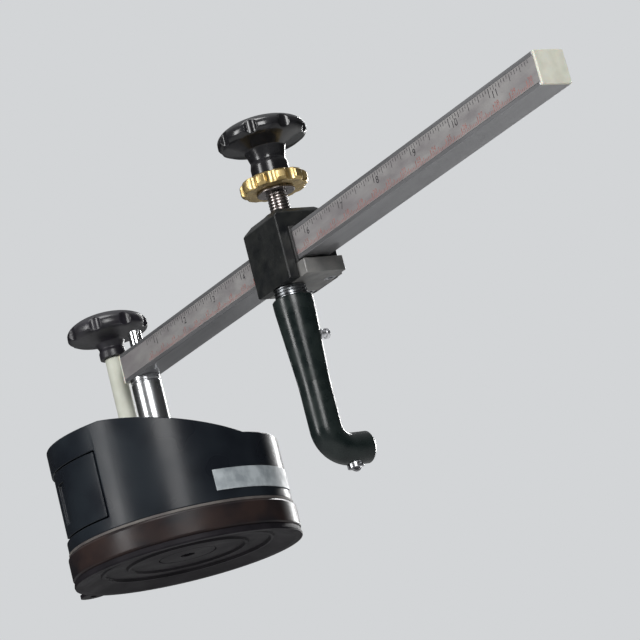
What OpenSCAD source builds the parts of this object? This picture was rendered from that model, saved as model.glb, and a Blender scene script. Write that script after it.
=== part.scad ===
// Oval and circle glass cutter: a suction base with a cross-slot trammel, a
// square scale bar on a tall pivot post, and a sliding cutting head.
// Millimetres. The origin is the pivot post's axis on the glass, +Z is up,
// +X runs along the bar and the bar's scale faces -Y.

/* [Suction base] */
// Outside diameter of the ring round the suction cup
ring_d = 98; // [97:1:104]
// Height of the seam between ring and housing
seam_z = 14; // [13:0.5:14]
// Outside diameter of the housing
housing_d = 96; // [95:1:97]
// Height of the housing on its tall side, over the lever
tall_z = 59; // [55:1:62]
// Height of the housing on its low side
low_z = 42; // [40:1:43]
// Height of the deck that the trammel slides run in
deck_z = 38; // [38:0.5:38.5]
// Radius of the well that holds the deck
well_r = 41.5; // [41:0.5:42]
// Angle that the suction lever swings through, in degrees
lever_swing = 50; // [40:5:50]

/* [Trammel] */
// Distance between the pivot post and the offset post
post_gap = 22; // [20:1:23]
// Diameter of the pivot post
post_d = 13; // [12.5:0.5:14]
// Diameter of the offset post
offset_d = 8; // [7.5:0.5:8]
// Height of the shoulder under the offset knob
offset_top = 98; // [96:1:100]

/* [Bar] */
// Width and height of the square bar
bar_w = 12.7; // [12:0.1:13]
// Height of the bar's underside over the glass
bar_z = 82; // [80:1:84]
// Length of the bar
bar_len = 312.5; // [250:0.5:400]
// Distance that the bar reaches past the pivot post's axis
bar_tail = 6; // [5:0.5:6.5]

/* [Head] */
// Distance from the pivot post to the head
head_x = 131; // [90:1:200]
// Length of the head along the bar
head_len = 25; // [22:1:28]
// Diameter of both mushroom knobs
knob_d = 35.5; // [32:0.5:38]
// Diameter of the brass lock nut
nut_d = 27; // [24:1:30]
// Diameter of the swivel arm
arm_d = 12.5; // [11:0.5:12.5]
// Diameter of the cutting wheel
wheel_d = 5.5; // [5:0.1:6]

/* [Hidden] */
$fn = 96;
big = 400;   // reaches past everything
run = 0.05;  // radial clearance of a running fit
gap = 0.3;   // free space between moving faces

// Base
ring_r = ring_d / 2;
housing_r = housing_d / 2;
lip_z = 2.5;            // top of the rubber lip, where the ring starts
seal_t = 0.8;
shell_z = seam_z + 0.3; // underside of the housing
cup_r = 42;             // bore of the ring, radius of the base plate
plate_z = 9;            // underside of the base plate
stud_r = 3;
button_r = 12;
floor_z = deck_z - 8;   // floor of the well
roof_t = 2;
wall_y = -37.5;         // flat inner wall on the tall side
boss_r = 4;
boss_ring = 36;
boss_angles = [-40, 30, 100, 170];
track_ring = 34;
track_angles = [45, 135, 225, 315];
hub_z = 20;             // underside of the lever's hub
spigot_r = 4.4;         // the hub turns on this
label_from = -9;        // the label's edges, as angles from +X
label_to = 50;
label_z = 18.4;
label_h = 8.8;
lever_from = -66;       // the lever's edges, as angles from +X
lever_to = -108;
lever_gap = 0.7;        // free angle at each side of the lever's grip, in degrees
pocket_r = housing_r - 3;
pocket_top = 48;
pin_z = 27.3;           // cross pin of the pull stud

// Trammel
offset_x = -post_gap;
post_r = post_d / 2;
pivot_r = 3.5;
bush_r = 5;
link_z = deck_z + 1;
link_t = 5;
link_top = link_z + link_t;
adjust = 9;             // how far the offset post slides in towards the pivot post
slot_reach = 35;        // half the length of a track slot
pivot_top = 60;

// Bar and head
bar_top = bar_z + bar_w;
bar_end = bar_len - bar_tail;
half = bar_w / 2;
liner_gap = 0.1;
liner_t = 0.9;
channel = bar_w + 2 * (liner_gap + liner_t);  // square hole of the head
head_lo = head_x - head_len / 2;
head_hi = head_x + head_len / 2;
block_y = 12;
block_top = 104;
saddle_z = 75;
saddle_t = bar_z - liner_gap - liner_t - saddle_z;
spindle_r = 4;
pad_t = 3.2;
knob_z = 121;           // underside of the top knob's neck
nut_z = 115;            // underside of the lock nut
arm_y = -5;
arm_r = arm_d / 2;
arm_top = 70.6;
arm_taper = [36, 67];   // the arm widens between these heights
arm_top_r = arm_r + 1.75;
collar_r = 6.4;         // ribbed collar of the guide rod, which the arm's top slides over
collar_z = 70;
neck_r = 4;             // the rod's neck, held by the saddle
rod_r = 3.1;
rod_z = 44;             // bottom end of the guide rod
wheel_r = wheel_d / 2;
wheel_y = 4;            // the wheel's place, off the arm's axis
bend_z = 18;            // the arm's foot bends forward below this height
toe_y = 12;             // front end of the foot
arm_pin_z = 55.5;
arm_pin_r = 1.2;
arm_screw_z = 44.5;
press = 3;              // how far the arm gives against its spring
seat_z = 30;            // top of the spring's seat
bore_z = seat_z - 2.1;  // bottom of the arm's bore

// A ring, or a tube, with its foot at z
module tube(outer, inner, z, h) {
    translate([0, 0, z]) difference() {
        cylinder(r = outer, h = h);
        translate([0, 0, -1]) cylinder(r = inner, h = h + 2);
    }
}

// A box given by its low and high corners
module slab(low, high) {
    translate(low) cube(high - low);
}

// A slot along X, length between its round ends' middles
module long_slot(length, width, z, h) {
    translate([0, 0, z]) linear_extrude(h) {
        square([length, width], center = true);
        for (side = [-1, 1]) translate([side * length / 2, 0]) circle(d = width);
    }
}

// Part of a ring between two angles
module arc_wall(inner, outer, from, to, z, h) {
    rotate([0, 0, min(from, to)]) translate([0, 0, z])
        rotate_extrude(angle = abs(to - from))
            translate([inner, 0]) square([outer - inner, h]);
}

// Radius of the arm's taper at a height
function arm_at(z) =
    arm_r + (arm_top_r - arm_r) * (z - arm_taper[0]) / (arm_taper[1] - arm_taper[0]);

// Copies of a shape at given angles on a circle
module around(radius, angles) {
    for (a = angles) rotate([0, 0, a]) translate([radius, 0, 0]) children();
}

// ---- Suction base

module suction_cup() {
    cavity = 3.4;
    color([0.10, 0.10, 0.11]) {
        rotate_extrude() polygon([
            [button_r + 0.4, cavity], [24, cavity], [24.6, cavity - 0.9], [25.8, cavity - 0.9],
            [26.4, cavity], [35, cavity - 0.2], [35.6, cavity - 1.3], [36.8, cavity - 1.3],
            [37.4, cavity - 0.6], [ring_r - 3.2, 0], [ring_r - 0.2, 0], [ring_r, 0.7],
            [ring_r - 0.4, lip_z], [cup_r, lip_z], [cup_r, plate_z], [button_r + 0.4, plate_z]
        ]);
        // Tongue for lifting the lip off the glass
        rotate([0, 0, 205]) difference() {
            union() {
                slab([ring_r - 1, -6, 0.8], [ring_r + 3, 6, lip_z - 0.2]);
                translate([ring_r + 3, 0, 0.8]) cylinder(r = 6, h = lip_z - 1);
            }
            translate([ring_r + 3, 0, 0]) cylinder(r = 2, h = 4);
        }
    }
}

module cup_button() {
    color([0.12, 0.12, 0.13]) difference() {
        translate([0, 0, 3.4]) cylinder(r = button_r, h = plate_z - 3.6);
        translate([0, 0, 7.3]) cylinder(r = 8, h = 3);
        translate([0, 0, 3]) cylinder(r = stud_r, h = 6);
    }
}

module cup_ring() {
    inner = cup_r;
    color([0.07, 0.07, 0.08]) rotate_extrude() polygon([
        [inner, lip_z], [ring_r - 1, lip_z], [ring_r, lip_z + 1], [ring_r, seam_z - 1.8],
        [ring_r - 0.8, seam_z - 0.8], [inner, seam_z - 0.8]
    ]);
}

module seal_ring() {
    color([0.55, 0.55, 0.52]) tube(housing_r + 0.3, cup_r, seam_z - 0.8, seal_t + 0.3);
}

module base_plate() {
    color([0.62, 0.63, 0.65]) difference() {
        union() {
            translate([0, 0, plate_z]) cylinder(r = cup_r, h = shell_z - plate_z);
            translate([0, 0, plate_z]) cylinder(r = 8, h = hub_z - 0.2 - plate_z);
            translate([0, 0, plate_z]) cylinder(r = spigot_r, h = hub_z + 3.2 - plate_z);
        }
        cylinder(r = stud_r + run, h = 40);
        around(boss_ring, boss_angles) {
            translate([0, 0, plate_z - 1]) cylinder(r = 1.7, h = 8);
            translate([0, 0, plate_z - 1]) cylinder(r = 3.1, h = 3);
        }
    }
}

module base_screws() {
    color([0.75, 0.75, 0.77]) around(boss_ring, boss_angles) {
        translate([0, 0, plate_z + 0.1]) cylinder(r = 3, h = 1.9);
        translate([0, 0, plate_z + 0.1]) cylinder(r = 1.45, h = 13);
    }
}

// The housing's outside: a round block whose rim slopes down from the lever side
module housing_block() {
    intersection() {
        translate([0, 0, shell_z]) cylinder(r = housing_r, h = big);
        rotate([90, 0, 90]) translate([0, 0, -big / 2]) linear_extrude(big) polygon([
            [-60, 0], [60, 0], [60, low_z], [12, low_z], [-41, tall_z], [-60, tall_z]
        ]);
    }
}

module housing() {
    arm_angles = [(lever_from + lever_to) / 2 + 8, (lever_from + lever_to) / 2 - lever_swing - 8];
    color([0.08, 0.085, 0.10]) difference() {
        union() {
            difference() {
                housing_block();
                translate([0, 0, shell_z - 1]) cylinder(r = well_r, h = floor_z - roof_t - shell_z + 1);
                intersection() {
                    translate([0, 0, floor_z]) cylinder(r = well_r, h = big);
                    slab([-big, wall_y, 0], [big, big, big]);
                }
            }
            around(boss_ring, boss_angles)
                translate([0, 0, shell_z]) cylinder(r = boss_r, h = floor_z - roof_t - shell_z + 0.5);
        }
        cylinder(r = 9, h = big);
        around(boss_ring, boss_angles) cylinder(r = 1.5, h = 25);
        around(track_ring, track_angles) cylinder(r = 1.5, h = 32);
        // Pocket that the lever's grip swings in, and the slot for its arm
        arc_wall(pocket_r, housing_r + 2, lever_from + lever_gap, lever_to - lever_swing - lever_gap,
            hub_z - 0.5, pocket_top - hub_z + 0.5);
        arc_wall(well_r - 2, housing_r, arm_angles[0], arm_angles[1], hub_z - 0.5, 5.5);
    }
}

module label_plate() {
    color([0.75, 0.77, 0.78])
        arc_wall(housing_r, housing_r + 0.5, label_from, label_to, label_z, label_h);
}

module track_plate() {
    color([0.72, 0.73, 0.75]) difference() {
        intersection() {
            translate([0, 0, floor_z]) cylinder(r = well_r - 0.15, h = deck_z - floor_z);
            slab([-big, wall_y + 0.15, 0], [big, big, big]);
        }
        // Post slot along Y: a wide lower part under two lips
        rotate([0, 0, 90]) {
            long_slot(2 * slot_reach - 15, 15, floor_z + 3, 3);
            long_slot(2 * slot_reach - 15, 9, floor_z + 5, 4);
        }
        // Offset slot along X, one level lower
        long_slot(2 * slot_reach - 10, 10, floor_z - 1, 4);
        long_slot(2 * slot_reach - 10, 5.6, floor_z + 2, 7);
        around(track_ring, track_angles) {
            cylinder(r = 1.6, h = big);
            translate([0, 0, deck_z - 1.6]) cylinder(r = 3, h = 3);
        }
    }
}

module track_screws() {
    color([0.80, 0.80, 0.82]) around(track_ring, track_angles) difference() {
        union() {
            translate([0, 0, floor_z - roof_t]) cylinder(r = 1.5, h = deck_z - floor_z + roof_t - 0.4);
            translate([0, 0, deck_z - 1.6]) cylinder(r = 2.8, h = 1.4);
        }
        slab([-3, -0.35, deck_z - 0.8], [3, 0.35, deck_z + 1]);
    }
}

// ---- Suction lever: a cam hub round the pull stud, an arm and a curved grip

module suction_lever() {
    middle = (lever_from + lever_to) / 2;
    color([0.16, 0.16, 0.18]) {
        tube(9, spigot_r + run, hub_z, 3.4);
        for (turn = [0, 180], step = [0:2]) rotate([0, 0, turn])
            arc_wall(5, 8.5, -40 - 3 * step, 15 * step, hub_z + 3, 2.3 - 0.75 * step);
        rotate([0, 0, middle]) slab([7, -4.5, hub_z], [pocket_r + 1.5, 4.5, hub_z + 3.4]);
        difference() {
            arc_wall(pocket_r + gap, housing_r, lever_from, lever_to, hub_z, pocket_top - hub_z - 0.5);
            // Finger groove across the grip
            arc_wall(housing_r - 1.2, housing_r + 1, lever_to + 6, lever_to + 14, hub_z + 5, 17);
        }
    }
}

module pull_stud() {
    color([0.70, 0.71, 0.73]) difference() {
        union() {
            translate([0, 0, 4.4]) cylinder(r = stud_r, h = 25);
            translate([0, 0, 7.3]) cylinder(r = 8, h = 1.5);
        }
        translate([0, 0, pin_z]) rotate([0, 90, 0]) cylinder(r = 1.2, h = 10, center = true);
    }
}

module cam_pin() {
    color([0.80, 0.80, 0.82])
        translate([0, 0, pin_z]) rotate([0, 90, 0]) cylinder(r = 1.2, h = 15, center = true);
}

// ---- Trammel: two shoes in crossed slots, and the link that holds both posts

module post_shoe() {
    foot = floor_z + 3.2;
    color([0.80, 0.62, 0.28]) {
        rotate([0, 0, 90]) {
            long_slot(3.4, 14.6, foot, 2.6);
            long_slot(5.4, 8.6, foot + 2.6, deck_z + 0.2 - foot - 2.6);
        }
        translate([0, 0, deck_z]) cylinder(r = pivot_r, h = pivot_top - deck_z);
        translate([0, 0, deck_z + 0.2]) cylinder(r = 5.4, h = 0.6);
    }
}

module offset_shoe() {
    foot = floor_z + 0.2;
    color([0.80, 0.62, 0.28]) translate([offset_x, 0, 0]) {
        long_slot(4.6, 9.4, foot, 2.5);
        translate([0, 0, foot + 2.5]) cylinder(r = 2.4, h = deck_z + 0.7 - foot - 2.5);
    }
}

module link_plate() {
    color([0.55, 0.56, 0.58]) difference() {
        translate([0, 0, link_z]) linear_extrude(link_t) {
            circle(r = 10);
            translate([offset_x - 2, -7.5]) square([post_gap + 2, 15]);
            translate([offset_x - 2, 0]) circle(r = 7.5);
        }
        cylinder(r = bush_r, h = big);
        // Slot for the clamp rod, over a pocket for its nut
        translate([offset_x + adjust / 2, 0, 0]) long_slot(adjust + 0.4, 4.4, link_z - 1, link_t + 2);
        slab([offset_x - 4.5, -4.4, link_z - 1], [offset_x + adjust + 4.5, 4.4, link_z + 3.5]);
    }
}

module main_post() {
    color([0.88, 0.88, 0.90]) difference() {
        translate([0, 0, link_top]) cylinder(r = post_r, h = bar_z - link_top);
        translate([0, 0, link_top - 1]) cylinder(r = bush_r, h = pivot_top + 3 - link_top);
        translate([0, 0, 70]) cylinder(r = 2, h = 20);
        // Shallow turned groove under the bar
        tube(post_r + 1, post_r - 0.4, bar_z - 2.6, 0.8);
    }
}

module post_bushing() {
    color([0.72, 0.48, 0.25]) tube(bush_r, pivot_r + run, link_z, pivot_top - link_z);
}

module bar_washer() {
    color([0.80, 0.80, 0.82]) tube(4.6, 2.1, bar_top, 0.8);
}

module bar_screw() {
    head_foot = bar_top + 0.8;
    color([0.85, 0.85, 0.87]) difference() {
        union() {
            translate([0, 0, 72]) cylinder(r = 2, h = head_foot - 72);
            translate([0, 0, head_foot]) cylinder(r = 2.9, h = 7);
            translate([0, 0, head_foot + 7]) cylinder(r1 = 2.9, r2 = 2.3, h = 0.5);
        }
        slab([-4, -0.4, head_foot + 5.8], [4, 0.4, head_foot + 9]);
    }
}

module measuring_bar() {
    wall = 1.6;
    groove = 0.4;
    color([0.80, 0.80, 0.80]) difference() {
        slab([-bar_tail, -half, bar_z], [bar_end, half, bar_top]);
        slab([-bar_tail - 1, wall - half, bar_z + wall], [bar_end + 1, half - wall, bar_top - wall]);
        // Groove for the scale, between two raised edges
        slab([-bar_tail - 1, -half - 1, bar_z + 1.6], [bar_end + 1, groove - half, bar_top - 1.6]);
        cylinder(r = 2.2, h = big);
    }
}

module scale_strip() {
    color([0.86, 0.85, 0.82])
        slab([-bar_tail, -half + 0.05, bar_z + 1.6], [bar_end, -half + 0.4, bar_top - 1.6]);
}

module end_caps() {
    inside = half - 1.6;
    color([0.93, 0.91, 0.83]) for (end = [[-bar_tail, -1], [bar_end, 1]])
        translate([end[0], 0, bar_z + half]) {
            outward = end[1];
            slab([min(0, 1.2 * outward), -half, -half], [max(0, 1.2 * outward), half, half]);
            plug = outward < 0 ? 2.5 : 9;
            slab([min(0, -plug * outward), -inside, -inside], [max(0, -plug * outward), inside, inside]);
        }
}

// ---- Offset post: a tube on the link, clamped by a rod that its knob turns

module offset_post() {
    color([0.90, 0.88, 0.80]) translate([offset_x, 0, 0])
        tube(offset_d / 2, 2 + run, link_top, offset_top - link_top);
}

module clamp_rod() {
    color([0.70, 0.70, 0.72]) translate([offset_x, 0, 0]) {
        translate([0, 0, link_z + 0.4]) cylinder(r = 2, h = offset_top + 7.6 - link_z);
    }
}

module slot_nut() {
    color([0.78, 0.60, 0.30]) translate([offset_x, 0, 0]) difference() {
        slab([-4.2, -4.2, link_z + 1.1], [4.2, 4.2, link_z + 3.4]);
        cylinder(r = 2 + run, h = big);
    }
}

// Mushroom knob with a fluted rim, on a waisted neck, its foot at z = 0
module mushroom(neck_r, neck_h, cap_h, bore_r, bore_h) {
    r = knob_d / 2;
    rim = 2.6;
    dome = cap_h - rim - 3;
    difference() {
        rotate_extrude() polygon(concat(
            [[0, 0], [neck_r, 0], [neck_r, neck_h * 0.35], [neck_r - 0.6, neck_h * 0.55],
             [neck_r + 0.6, neck_h - 1], [neck_r + 3, neck_h], [r - 2.4, neck_h + 1.4],
             [r - 0.6, neck_h + 2.4], [r, neck_h + 3.4], [r, neck_h + rim + 2]],
            [for (a = [6:6:90]) [r * cos(a), neck_h + rim + 2.4 + dome * sin(a)]]
        ));
        around(r + 2, [0:45:315]) translate([0, 0, neck_h - 1]) cylinder(r = 3.4, h = cap_h + 2);
        translate([0, 0, -1]) cylinder(r = bore_r, h = bore_h + 1);
    }
}

module offset_knob() {
    color([0.05, 0.05, 0.06]) translate([offset_x, 0, offset_top + 0.2])
        mushroom(5.9, 8, 12.5, 2, 7.8);
}

// ---- Head: a bridge over the bar, closed below by a saddle

module head_block() {
    slope = 3.4;
    color([0.13, 0.14, 0.14]) difference() {
        union() {
            rotate([90, 0, 90]) translate([0, 0, head_lo]) linear_extrude(head_len) polygon([
                [-block_y, saddle_z], [-channel / 2, saddle_z], [-channel / 2, saddle_z + saddle_t],
                [block_y, saddle_z + saddle_t], [block_y, block_top - slope],
                [block_y - slope, block_top], [slope - block_y, block_top],
                [-block_y, block_top - slope]
            ]);
            translate([head_x, 0, block_top]) cylinder(r = 7, h = 1.2);
        }
        slab([-big, -channel / 2, saddle_z + saddle_t - 1],
            [big, channel / 2, bar_top + liner_gap + liner_t]);
        translate([head_x, 0, 90]) cylinder(r = spindle_r + run, h = 30);
        for (end = [head_lo, head_hi]) translate([end, 0, block_top])
            rotate([0, 45, 0]) cube([3.2, big, 3.2], center = true);
        for (sx = [-1, 1]) translate([head_x + sx * 8, 9.3, 70]) cylinder(r = 1.2, h = 18);
        translate([head_x, arm_y, saddle_z - 1]) cylinder(r = neck_r + 0.1, h = saddle_t + 1);
    }
}

module head_saddle() {
    side = -channel / 2 + 0.1;
    tab = 5; // how far the tab stands out of the head
    color([0.58, 0.58, 0.60]) difference() {
        union() {
            slab([head_lo, side, saddle_z], [head_hi, block_y, saddle_z + saddle_t]);
            slab([head_hi - 1, side, saddle_z], [head_hi + tab, block_y - 1.5, saddle_z + saddle_t]);
        }
        translate([head_x, arm_y, saddle_z - 1]) cylinder(r = neck_r, h = big);
        for (sx = [-1, 1]) translate([head_x + sx * 8, 9.3, 0]) {
            cylinder(r = 1.3, h = big);
            cylinder(r = 2.5, h = saddle_z + 2);
        }
    }
}

module saddle_screws() {
    color([0.75, 0.75, 0.77]) for (sx = [-1, 1])
        translate([head_x + sx * 8, 9.3, saddle_z + 0.2]) difference() {
            union() {
                cylinder(r = 1.2, h = 11);
                cylinder(r = 2.3, h = 1.8);
            }
            translate([0, 0, -1]) cylinder(r = 1.2, h = 2.2, $fn = 6);
        }
}

module guide_liner() {
    inner = half + liner_gap;
    outer = inner + liner_t;
    mid_z = bar_z + half;
    color([0.20, 0.20, 0.20]) difference() {
        slab([head_lo - 0.6, -outer, mid_z - outer], [head_hi + 0.6, outer, mid_z + outer]);
        slab([-big, -inner, mid_z - inner], [big, inner, mid_z + inner]);
        translate([head_x, 0, mid_z]) cylinder(r = spindle_r + run, h = big);
    }
}

module clamp_pad() {
    color([0.80, 0.62, 0.28])
        translate([head_x, 0, bar_top + run]) cylinder(r = spindle_r - gap, h = pad_t);
}

module clamp_spindle() {
    foot = bar_top + run + pad_t;
    top = knob_z + 9;
    pitch = 1.25;
    crests = floor((knob_z - block_top) / pitch) - 1;
    color([0.72, 0.72, 0.74]) translate([head_x, 0, 0]) difference() {
        translate([0, 0, foot]) cylinder(r = spindle_r, h = top - foot);
        // Thread grooves between head and knob
        for (n = [1:crests]) translate([0, 0, block_top + 1 + n * pitch])
            rotate_extrude() polygon([[spindle_r - 0.6, 0], [spindle_r + 0.1, 0.5], [spindle_r + 0.1, -0.5]]);
    }
}

module top_knob() {
    color([0.05, 0.05, 0.06]) translate([head_x, 0, knob_z])
        mushroom(7.5, 12, 12, spindle_r, 9);
}

module lock_nut() {
    r = nut_d / 2;
    color([0.83, 0.60, 0.16]) translate([head_x, 0, nut_z]) difference() {
        rotate_extrude() polygon([
            [spindle_r + 0.1, 0], [r - 1, 0], [r, 1], [r, 4], [r - 1, 5], [9, 5], [8.4, 5.6],
            [spindle_r + 0.1, 5.6]
        ]);
        around(r + 1.1, [0:36:324]) translate([0, 0, -1]) cylinder(r = 2.7, h = 8);
    }
}

module lock_washer() {
    color([0.74, 0.74, 0.76]) translate([head_x, 0, 0])
        tube(7.5, spindle_r + 0.2, nut_z - 1.1, 1);
}

// ---- Swivel arm, sprung on a guide rod that the saddle holds

module guide_rod() {
    color([0.45, 0.46, 0.48]) translate([head_x, arm_y, 0]) difference() {
        union() {
            translate([0, 0, rod_z]) cylinder(r = rod_r, h = collar_z - rod_z);
            translate([0, 0, collar_z]) cylinder(r = collar_r, h = saddle_z - gap - collar_z);
            translate([0, 0, collar_z]) cylinder(r = neck_r, h = saddle_z + saddle_t - 0.1 - collar_z);
        }
        // Grooves between the collar's ribs, and the one that the retaining pin runs in
        for (n = [0:2]) tube(8, collar_r - 0.6, collar_z + 1.1 + 1.25 * n, 0.6);
        tube(6, rod_r - 0.9, arm_pin_z - 1.4, 2.8 + press);
    }
}

module pressure_spring() {
    wire = 0.4;
    turns = 11;
    rise = (rod_z - seat_z - 2 * wire) / (turns - 1);
    color([0.80, 0.80, 0.82]) translate([head_x, arm_y, seat_z + wire])
        for (n = [0:turns - 1]) translate([0, 0, n * rise])
            rotate_extrude() translate([2.3, 0]) circle(r = wire, $fn = 8);
}

module spring_seat() {
    color([0.70, 0.70, 0.72]) translate([head_x, arm_y, seat_z - 2]) cylinder(r = rod_r, h = 2);
}

module swivel_arm() {
    bend = wheel_y - arm_y;
    color([0.05, 0.08, 0.08]) difference() {
        union() {
            translate([head_x, arm_y, 0]) rotate_extrude() polygon([
                [0, bend_z], [arm_r, bend_z], [arm_r, arm_taper[0]], [arm_top_r, arm_taper[1]],
                [arm_top_r, arm_top - 0.5], [arm_top_r - 0.5, arm_top], [0, arm_top]
            ]);
            // Foot: a quarter bend, then a short toe over the wheel
            translate([head_x, wheel_y, bend_z]) rotate([90, 0, -90])
                rotate([0, 0, 270]) rotate_extrude(angle = 90) translate([bend, 0]) circle(r = arm_r);
            translate([head_x, wheel_y, bend_z - bend]) rotate([-90, 0, 0]) {
                cylinder(r = arm_r, h = toe_y - wheel_y - 1);
                translate([0, 0, toe_y - wheel_y - 1]) cylinder(r1 = arm_r, r2 = arm_r - 1, h = 1);
            }
        }
        translate([head_x, arm_y, bore_z]) cylinder(r = rod_r + run, h = 60);
        translate([head_x, arm_y, collar_z - press - gap]) cylinder(r = collar_r + gap, h = 10);
        translate([head_x, arm_y, arm_pin_z]) rotate([-90, 0, 0]) cylinder(r = arm_pin_r, h = 20);
        translate([head_x, wheel_y, 0]) cylinder(r = 3.2, h = 12);
        translate([head_x - arm_at(arm_screw_z) + 1.4, arm_y, arm_screw_z]) rotate([0, -90, 0])
            cylinder(r = 1.6, h = 4);
    }
}

module retaining_pin() {
    tip = rod_r - 0.8;
    face = arm_at(arm_pin_z);
    color([0.85, 0.85, 0.87]) translate([head_x, arm_y, arm_pin_z]) rotate([-90, 0, 0]) {
        translate([0, 0, tip]) cylinder(r = arm_pin_r, h = face + 2 - tip);
        translate([0, 0, face + 0.5]) cylinder(r = 1.9, h = 1);
        translate([0, 0, face + 1.5]) cylinder(r = 1.6, h = 1.6);
        translate([0, 0, face + 3.1]) cylinder(r = 2, h = 1.5);
    }
}

module arm_screw() {
    color([0.30, 0.31, 0.32]) translate([head_x - arm_at(arm_screw_z), arm_y, arm_screw_z])
        rotate([0, -90, 0]) difference() {
            translate([0, 0, -1.4]) cylinder(r = 1.6, h = 2.2);
            slab([-2, -0.25, 0.2], [2, 0.25, 2]);
        }
}

module wheel_holder() {
    color([0.70, 0.70, 0.72]) translate([head_x, wheel_y, 0]) difference() {
        translate([0, 0, 1.5]) cylinder(r = 3.2, h = 10.5);
        slab([-0.75, -5, 0], [0.75, 5, 7]);
        translate([0, 0, wheel_r]) rotate([0, 90, 0]) cylinder(r = 0.7, h = 10, center = true);
    }
}

module wheel_axle() {
    color([0.80, 0.80, 0.82]) translate([head_x, wheel_y, wheel_r])
        rotate([0, 90, 0]) cylinder(r = 0.7, h = 5.6, center = true);
}

module cutting_wheel() {
    color([0.60, 0.60, 0.62]) translate([head_x, wheel_y, wheel_r]) rotate([0, 90, 0])
        rotate_extrude() polygon([
            [0.75, -0.55], [wheel_r - 0.7, -0.55], [wheel_r, 0], [wheel_r - 0.7, 0.55], [0.75, 0.55]
        ]);
}

suction_cup();
cup_button();
cup_ring();
seal_ring();
base_plate();
base_screws();
housing();
label_plate();
track_plate();
track_screws();
suction_lever();
pull_stud();
cam_pin();
post_shoe();
offset_shoe();
link_plate();
main_post();
post_bushing();
bar_screw();
bar_washer();
measuring_bar();
scale_strip();
end_caps();
offset_post();
clamp_rod();
slot_nut();
offset_knob();
head_block();
head_saddle();
saddle_screws();
guide_liner();
clamp_pad();
clamp_spindle();
top_knob();
lock_nut();
lock_washer();
guide_rod();
pressure_spring();
spring_seat();
swivel_arm();
retaining_pin();
arm_screw();
wheel_holder();
wheel_axle();
cutting_wheel();
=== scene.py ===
"""Looks of the oval and circle glass cutter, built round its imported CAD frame.

Lengths are in metres and every piece lies in the frame's own place. The pivot post's axis is the origin,
+X runs along the bar, and z = 0 is the face of the glass that the tool stands on.
"""
import math

import bmesh
import bpy
from mathutils import Euler, Matrix, Vector


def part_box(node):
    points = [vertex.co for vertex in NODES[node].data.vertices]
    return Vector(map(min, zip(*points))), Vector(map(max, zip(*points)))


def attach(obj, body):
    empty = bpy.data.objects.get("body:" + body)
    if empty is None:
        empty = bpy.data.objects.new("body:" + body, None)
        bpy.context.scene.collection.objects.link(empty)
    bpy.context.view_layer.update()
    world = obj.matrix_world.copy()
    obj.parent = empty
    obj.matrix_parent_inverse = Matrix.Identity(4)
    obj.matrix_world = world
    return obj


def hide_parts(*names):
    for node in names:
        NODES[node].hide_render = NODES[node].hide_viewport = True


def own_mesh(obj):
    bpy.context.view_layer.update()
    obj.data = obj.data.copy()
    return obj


MM = 0.001
INCH = 0.0254

# Softened edges of the CAD nodes
WELD = 0.002 * MM                     # points closer than this are one point
FLAT = math.radians(0.4)              # faces that meet at less than this are one face
EDGE_ANGLE = math.radians(32)         # edges sharper than this are rounded
EDGE_SEGMENTS = 3

# Marks on the scale
INK_DEPTH = 0.03 * MM
INK_MARGIN = 0.3 * MM                 # between the marks' outer ends and the strip's edges
MARK_WIDTH = 0.28 * MM
MAIN_MARK_WIDTH = 0.38 * MM
SCALE_START = 18 * MM                 # the divisions nearer the pivot are left out
SCALE_END_GAP = 3 * MM
FIGURE_SIZE = 1.35                    # a font's size over the height of its figures

# Pressure spring
WIRE = 0.4 * MM                       # radius
TURNS = 11
STEPS_PER_TURN = 32
WIRE_SIDES = 10

# Stage
FLOOR_HEIGHT = -0.36                  # well below the glass plane, which the camera is also below
FLOOR_REACH = 6.0
BACKDROP = 0.7                        # strength of the room where the camera sees it
LIGHT_AIM = (0.1, 0, 0.07)

# Camera: where it looks, and from how far and at what angles in degrees
CAMERA_TARGET = (0.13086, 0.00506, 0.06114)
CAMERA_DISTANCE = 1.0044
CAMERA_HEADING, CAMERA_CLIMB, CAMERA_ROLL = 55.468, 13.936, 14.566
FOCAL_LENGTH = 146.7
SENSOR_WIDTH = 36

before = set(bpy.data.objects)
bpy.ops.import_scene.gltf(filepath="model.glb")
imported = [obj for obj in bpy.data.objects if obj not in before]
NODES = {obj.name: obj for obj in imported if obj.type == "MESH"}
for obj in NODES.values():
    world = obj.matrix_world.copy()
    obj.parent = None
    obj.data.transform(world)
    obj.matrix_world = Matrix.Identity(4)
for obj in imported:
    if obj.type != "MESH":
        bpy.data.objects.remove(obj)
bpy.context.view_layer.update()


# ---- Node trees

def map_range(tree, value, start, end, low, high):
    """A node that takes the range start to end of a value to the range low to high."""
    made = tree.nodes.new("ShaderNodeMapRange")
    for socket, number in zip(("From Min", "From Max", "To Min", "To Max"), (start, end, low, high)):
        made.inputs[socket].default_value = number
    tree.links.new(value, made.inputs["Value"])
    return made.outputs["Result"]


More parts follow.
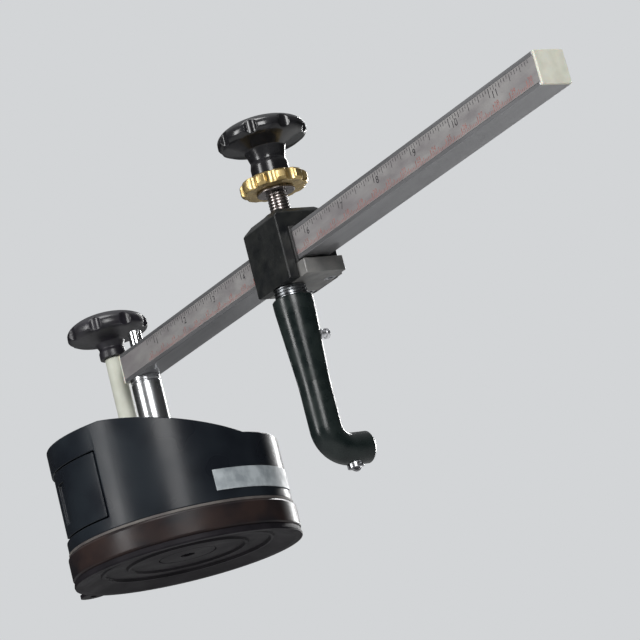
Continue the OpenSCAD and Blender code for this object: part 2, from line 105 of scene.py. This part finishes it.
class Paint:
    """A material with one Principled shader, and short calls that add detail to it."""

    def __init__(self, name, colour, roughness, metallic=0.0, specular=0.5):
        self.material = bpy.data.materials.new(name)
        self.material.use_nodes = True
        self.tree = self.material.node_tree
        self.tree.nodes.clear()
        self.shader = self.node("ShaderNodeBsdfPrincipled")
        output = self.node("ShaderNodeOutputMaterial")
        self.tree.links.new(self.shader.outputs["BSDF"], output.inputs["Surface"])
        values = {"Base Color": (*colour, 1), "Roughness": roughness, "Metallic": metallic,
                  "Specular IOR Level": specular}
        for socket, value in values.items():
            self.shader.inputs[socket].default_value = value
        self.place = self.node("ShaderNodeTexCoord").outputs["Object"]
        self.colour = (*colour, 1)
        self.normal = None

    def node(self, kind, **settings):
        made = self.tree.nodes.new(kind)
        for key, value in settings.items():
            setattr(made, key, value)
        return made

    def link(self, source, target):
        self.tree.links.new(source, target)

    def math(self, operation, first, second=None):
        made = self.node("ShaderNodeMath", operation=operation)
        for socket, value in zip(made.inputs, (first, second)):
            if value is None:
                continue
            if isinstance(value, (int, float)):
                socket.default_value = value
            else:
                self.link(value, socket)
        return made.outputs[0]

    def stretched(self, stretch):
        """Object coordinates stretched by a factor on each axis."""
        made = self.node("ShaderNodeMapping")
        made.inputs["Scale"].default_value = stretch
        self.link(self.place, made.inputs["Vector"])
        return made.outputs["Vector"]

    def noise(self, size, detail=3.0, stretch=(1, 1, 1)):
        """Noise whose blobs are about size metres across."""
        made = self.node("ShaderNodeTexNoise")
        made.inputs["Scale"].default_value = 1 / size
        made.inputs["Detail"].default_value = detail
        self.link(self.stretched(stretch), made.inputs["Vector"])
        return made.outputs["Fac"]

    def span(self, value, low, high, start=0.35, end=0.65):
        """A noise value from start to end, taken to the range low to high."""
        return map_range(self.tree, value, start, end, low, high)

    def mix(self, factor, first, second):
        made = self.node("ShaderNodeMix", data_type="RGBA")
        self.link(factor, made.inputs["Factor"])
        for socket, value in ((made.inputs[6], first), (made.inputs[7], second)):
            if isinstance(value, tuple):
                socket.default_value = value if len(value) == 4 else (*value, 1)
            else:
                self.link(value, socket)
        return made.outputs[2]

    def overlay(self, factor, colour):
        """Lays another colour over the present one."""
        base = self.shader.inputs["Base Color"]
        old = base.links[0].from_socket if base.is_linked else self.colour
        self.link(self.mix(factor, old, colour), base)
        return self

    def mottle(self, other, size, detail=4.0, stretch=(1, 1, 1)):
        """Blends the colour with another in soft patches."""
        return self.overlay(self.span(self.noise(size, detail, stretch), 0, 1), other)

    def specks(self, other, size, share):
        """Small flecks of dust or wear, where a fine noise is high."""
        return self.overlay(self.span(self.noise(size, 6.0), 0, 1, 1 - share, 1 - share + 0.03), other)

    def rough(self, low, high, size, detail=4.0, stretch=(1, 1, 1)):
        """Patches that are more and less polished."""
        value = self.span(self.noise(size, detail, stretch), low, high)
        self.link(value, self.shader.inputs["Roughness"])
        return self

    def bump(self, height, depth):
        made = self.node("ShaderNodeBump")
        made.inputs["Distance"].default_value = depth
        made.inputs["Strength"].default_value = 1
        self.link(height, made.inputs["Height"])
        if self.normal is not None:
            self.link(self.normal, made.inputs["Normal"])
        self.normal = made.outputs["Normal"]
        self.link(self.normal, self.shader.inputs["Normal"])
        return self

    def grain(self, size, depth, stretch=(1, 1, 1)):
        return self.bump(self.noise(size, 2.0, stretch), depth)

    def lathe(self, centre, pitch, depth):
        """Fine turned rings round an upright axis, on flat faces and along the sides."""
        split = self.node("ShaderNodeSeparateXYZ")
        self.link(self.place, split.inputs[0])
        dx = self.math("SUBTRACT", split.outputs["X"], centre[0])
        dy = self.math("SUBTRACT", split.outputs["Y"], centre[1])
        squared = self.math("ADD", self.math("MULTIPLY", dx, dx), self.math("MULTIPLY", dy, dy))
        radius = self.math("SQRT", squared)
        run = self.math("ADD", radius, split.outputs["Z"])
        joined = self.node("ShaderNodeCombineXYZ")
        self.link(run, joined.inputs["X"])
        noise = self.node("ShaderNodeTexNoise")
        noise.inputs["Scale"].default_value = 1 / pitch
        noise.inputs["Detail"].default_value = 2.0
        self.link(joined.outputs[0], noise.inputs["Vector"])
        return self.bump(noise.outputs["Fac"], depth)


# ---- Materials, one function each, with sizes and depths in metres

def cup_rubber():
    paint = Paint("cup_rubber", (0.008, 0.007, 0.009), 0.5, specular=0.1)
    return paint.mottle((0.016, 0.014, 0.017), 0.012).rough(0.42, 0.6, 0.02).grain(0.0005, 0.00003)


def housing_plastic():
    paint = Paint("housing_plastic", (0.008, 0.010, 0.014), 0.3, specular=0.2)
    paint.mottle((0.014, 0.018, 0.023), 0.02, 2.0).rough(0.27, 0.34, 0.02, 1.0).grain(0.0004, 0.00001)
    return paint.specks((0.06, 0.06, 0.07), 0.0018, 0.25)


def ring_plastic():
    paint = Paint("ring_plastic", (0.011, 0.010, 0.012), 0.32, specular=0.17)
    return paint.mottle((0.030, 0.019, 0.017), 0.02, 2.0, stretch=(1, 1, 1.5)).rough(0.28, 0.38, 0.015, 1.0)


def seal_grey():
    paint = Paint("seal_grey", (0.12, 0.11, 0.10), 0.6)
    return paint.mottle((0.07, 0.06, 0.058), 0.008)


def label_white():
    paint = Paint("label_white", (0.44, 0.48, 0.50), 0.4)
    return paint.mottle((0.26, 0.29, 0.31), 0.005).rough(0.34, 0.5, 0.006)


def knob_plastic(name, colour, roughness):
    paint = Paint(name, colour, roughness)
    paint.mottle(tuple(2 * c for c in colour), 0.006).rough(0.75 * roughness, 1.2 * roughness, 0.009)
    return paint.grain(0.0012, 0.000008).specks((0.06, 0.06, 0.065), 0.0016, 0.25)


def cast_zinc():
    paint = Paint("cast_zinc", (0.40, 0.41, 0.43), 0.45, metallic=0.7)
    return paint.mottle((0.33, 0.34, 0.36), 0.003).rough(0.4, 0.54, 0.004).grain(0.0008, 0.00003)


def brass(name, centre):
    paint = Paint(name, (0.66, 0.50, 0.23), 0.34, metallic=0.9)
    paint.mottle((0.42, 0.30, 0.12), 0.005).rough(0.26, 0.44, 0.004)
    return paint.lathe(centre, 0.00012, 0.00002)


def cream_sleeve(centre):
    """The offset post's pale satin sleeve."""
    paint = Paint("cream_sleeve", (0.64, 0.65, 0.57), 0.5, specular=0.3)
    paint.mottle((0.56, 0.57, 0.49), 0.008).rough(0.44, 0.58, 0.006)
    return paint.lathe(centre, 0.0003, 0.000002)


def chrome(name, centre, tint=(0.86, 0.87, 0.88), roughness=(0.1, 0.2)):
    paint = Paint(name, tint, roughness[0], metallic=1.0)
    return paint.rough(*roughness, 0.012, stretch=(1, 1, 0.4)).lathe(centre, 0.0003, 0.000001)


def steel(name, centre=(0, 0), colour=(0.56, 0.57, 0.59)):
    paint = Paint(name, colour, 0.3, metallic=1.0)
    paint.mottle(tuple(0.72 * c for c in colour), 0.004).rough(0.22, 0.4, 0.003)
    return paint.lathe(centre, 0.00015, 0.00001)


def bar_metal():
    """Drawn tube: fine draw lines along X, light handling marks."""
    paint = Paint("bar_metal", (0.35, 0.35, 0.36), 0.36, metallic=0.8)
    paint.mottle((0.29, 0.29, 0.30), 0.01, stretch=(0.15, 1, 1)).rough(0.32, 0.42, 0.004, stretch=(0.1, 1, 1))
    return paint.grain(0.0003, 0.000004, stretch=(0.01, 1, 1))


def scale_face():
    paint = Paint("scale_face", (0.31, 0.30, 0.295), 0.42, metallic=0.2)
    return paint.mottle((0.22, 0.205, 0.21), 0.005, stretch=(0.3, 1, 1)).rough(0.34, 0.52, 0.005)


def cap_plastic():
    paint = Paint("cap_plastic", (0.66, 0.66, 0.57), 0.38)
    paint.shader.inputs["Subsurface Weight"].default_value = 0.15
    paint.shader.inputs["Subsurface Scale"].default_value = 0.002
    return paint.mottle((0.58, 0.58, 0.49), 0.004).grain(0.0006, 0.00002)


def head_enamel():
    """Sprayed charcoal enamel with a slight orange peel."""
    paint = Paint("head_enamel", (0.008, 0.009, 0.010), 0.36, specular=0.3)
    paint.mottle((0.020, 0.021, 0.020), 0.006).rough(0.28, 0.44, 0.005).grain(0.0009, 0.00003)
    return paint.specks((0.11, 0.11, 0.10), 0.0014, 0.26)


def saddle_metal():
    paint = Paint("saddle_metal", (0.17, 0.17, 0.168), 0.42, metallic=0.3)
    return paint.mottle((0.24, 0.235, 0.225), 0.005).rough(0.34, 0.52, 0.004).grain(0.0007, 0.00003)


def arm_enamel():
    paint = Paint("arm_enamel", (0.006, 0.010, 0.010), 0.26, specular=0.35)
    paint.mottle((0.014, 0.020, 0.019), 0.008).rough(0.2, 0.34, 0.008).grain(0.0011, 0.00002)
    return paint.specks((0.09, 0.1, 0.1), 0.0015, 0.26)


def liner_plastic():
    paint = Paint("liner_plastic", (0.03, 0.03, 0.03), 0.5)
    return paint.mottle((0.05, 0.05, 0.05), 0.003).grain(0.0004, 0.00002)


def carbide():
    paint = Paint("carbide", (0.34, 0.34, 0.36), 0.25, metallic=1.0)
    return paint.mottle((0.24, 0.24, 0.25), 0.001).rough(0.15, 0.35, 0.0008)


def ink(name, colour):
    paint = Paint(name, colour, 0.45)
    return paint.mottle(tuple(min(1, 1.6 * c + 0.02) for c in colour), 0.0015)


# ---- Finishing the CAD nodes

def soften(name, width):
    """Rounds a CAD node's edges with modifiers, which leave its own mesh alone."""
    if width is None:
        return
    piece = NODES[name]
    mesh = piece.data
    if "custom_normal" in mesh.attributes:
        mesh.attributes.remove(mesh.attributes["custom_normal"])
    mesh.polygons.foreach_set("use_smooth", [True] * len(mesh.polygons))
    weld = piece.modifiers.new("weld", "WELD")
    weld.merge_threshold = WELD
    flat = piece.modifiers.new("flat", "DECIMATE")
    flat.decimate_type = "DISSOLVE"
    flat.angle_limit = FLAT
    if width:
        bevel = piece.modifiers.new("bevel", "BEVEL")
        bevel.width = width
        bevel.segments = EDGE_SEGMENTS
        bevel.limit_method = "ANGLE"
        bevel.angle_limit = EDGE_ANGLE
        bevel.use_clamp_overlap = False
        bevel.miter_outer = "MITER_ARC"
    shade = piece.modifiers.new("shade", "WEIGHTED_NORMAL")
    shade.keep_sharp = False
    shade.weight = 60


def paint_node(name, paint):
    piece = NODES[name]
    if piece.material_slots:
        for holder in piece.material_slots:
            holder.material = paint.material
    else:
        piece.data.materials.append(paint.material)


def axis_of(name):
    low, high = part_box(name)
    return ((low.x + high.x) / 2, (low.y + high.y) / 2)


def finish_nodes():
    """Every CAD node's material and how far its edges are rounded, in millimetres."""
    post = axis_of("main_post")
    offset = axis_of("offset_post")
    head = axis_of("lock_nut")
    arm = axis_of("guide_rod")
    housing = housing_plastic()
    zinc = cast_zinc()
    shoe = brass("shoe_brass", post)
    table = {
        "suction_cup": (cup_rubber(), None), "cup_button": (cup_rubber(), 0.3),
        "cup_ring": (ring_plastic(), 0.3), "seal_ring": (seal_grey(), 0.1),
        "base_plate": (zinc, 0.2), "base_screws": (steel("base_steel"), 0.1),
        "housing": (housing, 0.5), "suction_lever": (housing, 0.35), "label_plate": (label_white(), 0.12),
        "track_plate": (zinc, 0.2), "track_screws": (steel("track_steel"), 0.12),
        "pull_stud": (steel("stud_steel"), 0.1), "cam_pin": (steel("pin_steel"), 0.1),
        "post_shoe": (shoe, 0.15), "offset_shoe": (brass("offset_brass", offset), 0.15),
        "link_plate": (zinc, 0.25), "post_bushing": (shoe, 0.1),
        "main_post": (chrome("post_chrome", post, (0.62, 0.63, 0.64), (0.22, 0.3)), 0.25),
        "bar_screw": (chrome("screw_chrome", post), 0.15), "bar_washer": (chrome("washer_chrome", post), 0.1),
        "measuring_bar": (bar_metal(), 0.35), "scale_strip": (scale_face(), 0.0),
        "end_caps": (cap_plastic(), 0.4),
        "offset_post": (cream_sleeve(offset), 0.2),
        "clamp_rod": (steel("rod_steel", offset), 0.15), "slot_nut": (brass("nut_brass", offset), 0.15),
        "offset_knob": (knob_plastic("knob_satin", (0.010, 0.009, 0.012), 0.38), 0.3),
        "top_knob": (knob_plastic("knob_gloss", (0.008, 0.008, 0.009), 0.2), 0.3),
        "head_block": (head_enamel(), 0.5), "head_saddle": (saddle_metal(), 0.35),
        "saddle_screws": (steel("saddle_steel"), 0.1), "guide_liner": (liner_plastic(), 0.15),
        "clamp_pad": (brass("pad_brass", head), 0.1),
        "clamp_spindle": (steel("spindle_steel", head, (0.36, 0.33, 0.32)), None),
        "lock_nut": (brass("lock_brass", head), 0.35),
        "lock_washer": (steel("washer_steel", head, (0.30, 0.27, 0.26)), 0.15),
        "guide_rod": (steel("guide_steel", arm, (0.20, 0.21, 0.22)), None),
        "pressure_spring": (steel("spring_steel", arm), None), "spring_seat": (steel("seat_steel", arm), 0.1),
        "swivel_arm": (arm_enamel(), None),
        "retaining_pin": (steel("pin_plate", arm, (0.85, 0.85, 0.88)), 0.2),
        "arm_screw": (steel("screw_steel", arm), 0.1), "wheel_holder": (steel("holder_steel", arm), 0.15),
        "wheel_axle": (steel("axle_steel", arm), 0.05), "cutting_wheel": (carbide(), 0.0),
    }
    for name in NODES:
        paint, edge = table[name]
        paint_node(name, paint)
        soften(name, None if edge is None else edge * MM)


# ---- Pieces made here

def mesh_piece(name, build, paint, body):
    """A new mesh piece that build() fills, riding on a body."""
    mesh = bpy.data.meshes.new(name)
    shape = bmesh.new()
    build(shape)
    shape.to_mesh(mesh)
    shape.free()
    piece = bpy.data.objects.new(name, mesh)
    bpy.context.scene.collection.objects.link(piece)
    mesh.materials.append(paint.material)
    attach(piece, body)
    return piece


def tile(shape, x, z, width, height, y, thick):
    """A thin upright block that faces -Y."""
    place = Matrix.LocRotScale(Vector((x, y + thick / 2, z)), None, Vector((width, thick, height)))
    bmesh.ops.create_cube(shape, size=1.0, matrix=place)


def scale_marks():
    """Inch divisions along the strip's top edge and centimetres along its lower edge."""
    low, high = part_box("scale_strip")
    face = low.y - 0.6 * INK_DEPTH
    end = high.x - SCALE_END_GAP

    def ticks(shape, step, lengths, edge, side):
        """Marks a step apart. The first of lengths whose number divides a mark's own gives its length."""
        for n in range(math.ceil(SCALE_START / step), int(end / step) + 1):
            length = next(size for every, size in lengths if n % every == 0)
            width = MARK_WIDTH if n % lengths[0][0] else MAIN_MARK_WIDTH
            tile(shape, n * step, edge + side * length / 2, width, length, face, INK_DEPTH)

    def figures(name, step, height, middle, shift, paint):
        """Plain figures, one to the right of each main division."""
        joined = bmesh.new()
        for value in range(math.ceil(SCALE_START / step), int(end / step) + 1):
            add_figure(joined, value, height, (value * step + shift, face + INK_DEPTH / 2, middle))
        piece = mesh_piece(name, lambda shape: None, paint, "bar")
        joined.to_mesh(piece.data)
        joined.free()

    black, red = ink("ink_black", (0.015, 0.014, 0.016)), ink("ink_red", (0.22, 0.085, 0.075))
    inch_lengths = ((16, 3.4 * MM), (8, 2.8 * MM), (4, 2.2 * MM), (2, 1.6 * MM), (1, 1.1 * MM))
    metric_lengths = ((10, 2.8 * MM), (5, 2.0 * MM), (1, 1.2 * MM))
    mesh_piece("inch_ticks", lambda shape: ticks(shape, INCH / 16, inch_lengths, high.z - INK_MARGIN, -1),
               black, "bar")
    mesh_piece("metric_ticks", lambda shape: ticks(shape, 1 * MM, metric_lengths, low.z + INK_MARGIN, 1),
               red, "bar")
    figures("inch_numbers", INCH, 2.9 * MM, high.z - 3.5 * MM, 1.2 * MM, black)
    figures("metric_numbers", 10 * MM, 2.0 * MM, low.z + 2.6 * MM, 0.8 * MM, red)


def add_figure(joined, value, height, place):
    """Adds a number's mesh to a bmesh, upright and facing -Y, with its left edge at a place."""
    text = bpy.data.curves.new("figure", "FONT")
    text.body = str(value)
    text.size = height * FIGURE_SIZE
    text.align_x, text.align_y = "LEFT", "CENTER"
    text.extrude = INK_DEPTH / 2
    holder = bpy.data.objects.new("figure", text)
    bpy.context.scene.collection.objects.link(holder)
    bpy.context.view_layer.update()
    mesh = bpy.data.meshes.new_from_object(holder)
    mesh.transform(Matrix.Translation(place) @ Euler((math.pi / 2, 0, 0)).to_matrix().to_4x4())
    joined.from_mesh(mesh)
    bpy.data.objects.remove(holder)
    bpy.data.curves.remove(text)
    bpy.data.meshes.remove(mesh)


def coil_spring():
    """The arm's spring, a coil with closed ends."""
    low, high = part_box("pressure_spring")
    centre = (low + high) / 2
    length = high.z - low.z
    radius = (high.x - low.x) / 2 - WIRE
    closed = 2.05 * WIRE              # rise of the closed turn at each end
    rise = (length - 2 * WIRE - 2 * closed) / (TURNS - 2)

    def height(turn):
        ends = min(turn, 1) + max(turn - TURNS + 1, 0)
        return closed * ends + rise * min(max(turn - 1, 0), TURNS - 2)

    def ring(n):
        """The points round the wire at step n."""
        angle = math.tau * n / STEPS_PER_TURN
        out = Vector((math.cos(angle), math.sin(angle), 0))
        middle = Vector((centre.x, centre.y, low.z + WIRE + height(n / STEPS_PER_TURN))) + radius * out
        for side in range(WIRE_SIDES):
            turn = math.tau * side / WIRE_SIDES
            yield middle + WIRE * (math.cos(turn) * out + Vector((0, 0, math.sin(turn))))

    def build(shape):
        rings = [[shape.verts.new(point) for point in ring(n)] for n in range(TURNS * STEPS_PER_TURN + 1)]
        for first, second in zip(rings, rings[1:]):
            for side in range(WIRE_SIDES):
                face = shape.faces.new((first[side - 1], first[side], second[side], second[side - 1]))
                face.smooth = True
        for end in (rings[0], rings[-1]):
            shape.faces.new(end)
        bmesh.ops.recalc_face_normals(shape, faces=shape.faces)

    piece = mesh_piece("coil_spring", build, steel("coil_steel", (centre.x, centre.y)), "head")
    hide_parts("pressure_spring")
    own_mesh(piece)


# ---- Stage, light and camera

def area_light(name, place, size, power):
    """A white rectangular light of some watts, aimed at the object."""
    light = bpy.data.lights.new(name, "AREA")
    light.shape = "RECTANGLE"
    light.size, light.size_y = size
    light.energy = power
    holder = bpy.data.objects.new(name, light)
    holder.location = place
    holder.rotation_mode = "QUATERNION"
    holder.rotation_quaternion = (Vector(LIGHT_AIM) - Vector(place)).to_track_quat("-Z", "Y")
    bpy.context.scene.collection.objects.link(holder)


def room_light():
    """A pale backdrop and a dim even room. Gloss sees a dark studio that is lighter overhead."""
    world = bpy.data.worlds.new("room")
    bpy.context.scene.world = world
    world.use_nodes = True
    tree = world.node_tree
    background = tree.nodes["Background"]
    background.inputs["Color"].default_value = (0.93, 0.95, 0.97, 1)
    rays = tree.nodes.new("ShaderNodeLightPath")
    split = tree.nodes.new("ShaderNodeSeparateXYZ")
    tree.links.new(tree.nodes.new("ShaderNodeTexCoord").outputs["Generated"], split.inputs[0])

    def choose(factor, otherwise, chosen):
        """One strength for a kind of ray, and another for the rest."""
        made = tree.nodes.new("ShaderNodeMix")
        tree.links.new(factor, made.inputs["Factor"])
        for socket, value in ((made.inputs["A"], otherwise), (made.inputs["B"], chosen)):
            if isinstance(value, float):
                socket.default_value = value
            else:
                tree.links.new(value, socket)
        return made.outputs["Result"]

    height = split.outputs["Z"]
    fill = map_range(tree, height, -0.6, 0.6, 0.05, 0.32)
    gloss = map_range(tree, height, 0.3, 0.9, 0.03, 0.5)
    lit = choose(rays.outputs["Is Glossy Ray"], fill, gloss)
    tree.links.new(choose(rays.outputs["Is Camera Ray"], lit, BACKDROP), background.inputs["Strength"])


def studio():
    """A pale floor well below the glass plane, a pale room, and soft lights."""
    mesh = bpy.data.meshes.new("floor")
    shape = bmesh.new()
    bmesh.ops.create_grid(shape, x_segments=1, y_segments=1, size=FLOOR_REACH)
    shape.to_mesh(mesh)
    shape.free()
    floor = bpy.data.objects.new("floor", mesh)
    floor.location.z = FLOOR_HEIGHT
    bpy.context.scene.collection.objects.link(floor)
    paint = Paint("floor_paint", (0.56, 0.56, 0.56), 0.7)
    paint.mottle((0.53, 0.53, 0.53), 0.4)
    mesh.materials.append(paint.material)

    room_light()
    area_light("key", (1.02, -0.46, 0.42), (0.35, 0.5), 7)
    area_light("front", (0.05, -1.1, 0.3), (0.25, 0.6), 6)
    area_light("top", (0.15, -0.15, 1.1), (0.5, 0.5), 5)
    area_light("rim", (-0.43, 0.87, 0.3), (0.08, 0.8), 6)
    bpy.context.scene.view_settings.view_transform = "Standard"


def camera():
    """Below the glass plane and beyond the bar's free end, rolled so that the tool leans left."""
    heading, climb, roll = (math.radians(angle) for angle in (CAMERA_HEADING, CAMERA_CLIMB, CAMERA_ROLL))
    forward = Vector((-math.sin(heading) * math.cos(climb), math.cos(heading) * math.cos(climb),
                      math.sin(climb)))
    lens = bpy.data.cameras.new("camera")
    lens.sensor_width = SENSOR_WIDTH
    lens.lens = FOCAL_LENGTH
    lens.clip_start, lens.clip_end = 0.05, 20
    holder = bpy.data.objects.new("camera", lens)
    holder.location = Vector(CAMERA_TARGET) - forward * CAMERA_DISTANCE
    holder.rotation_mode = "QUATERNION"
    tilt = Matrix.Rotation(-roll, 3, "Z").to_quaternion()
    holder.rotation_quaternion = forward.to_track_quat("-Z", "Y") @ tilt
    bpy.context.scene.collection.objects.link(holder)
    bpy.context.scene.camera = holder


camera()
studio()
finish_nodes()
scale_marks()
coil_spring()
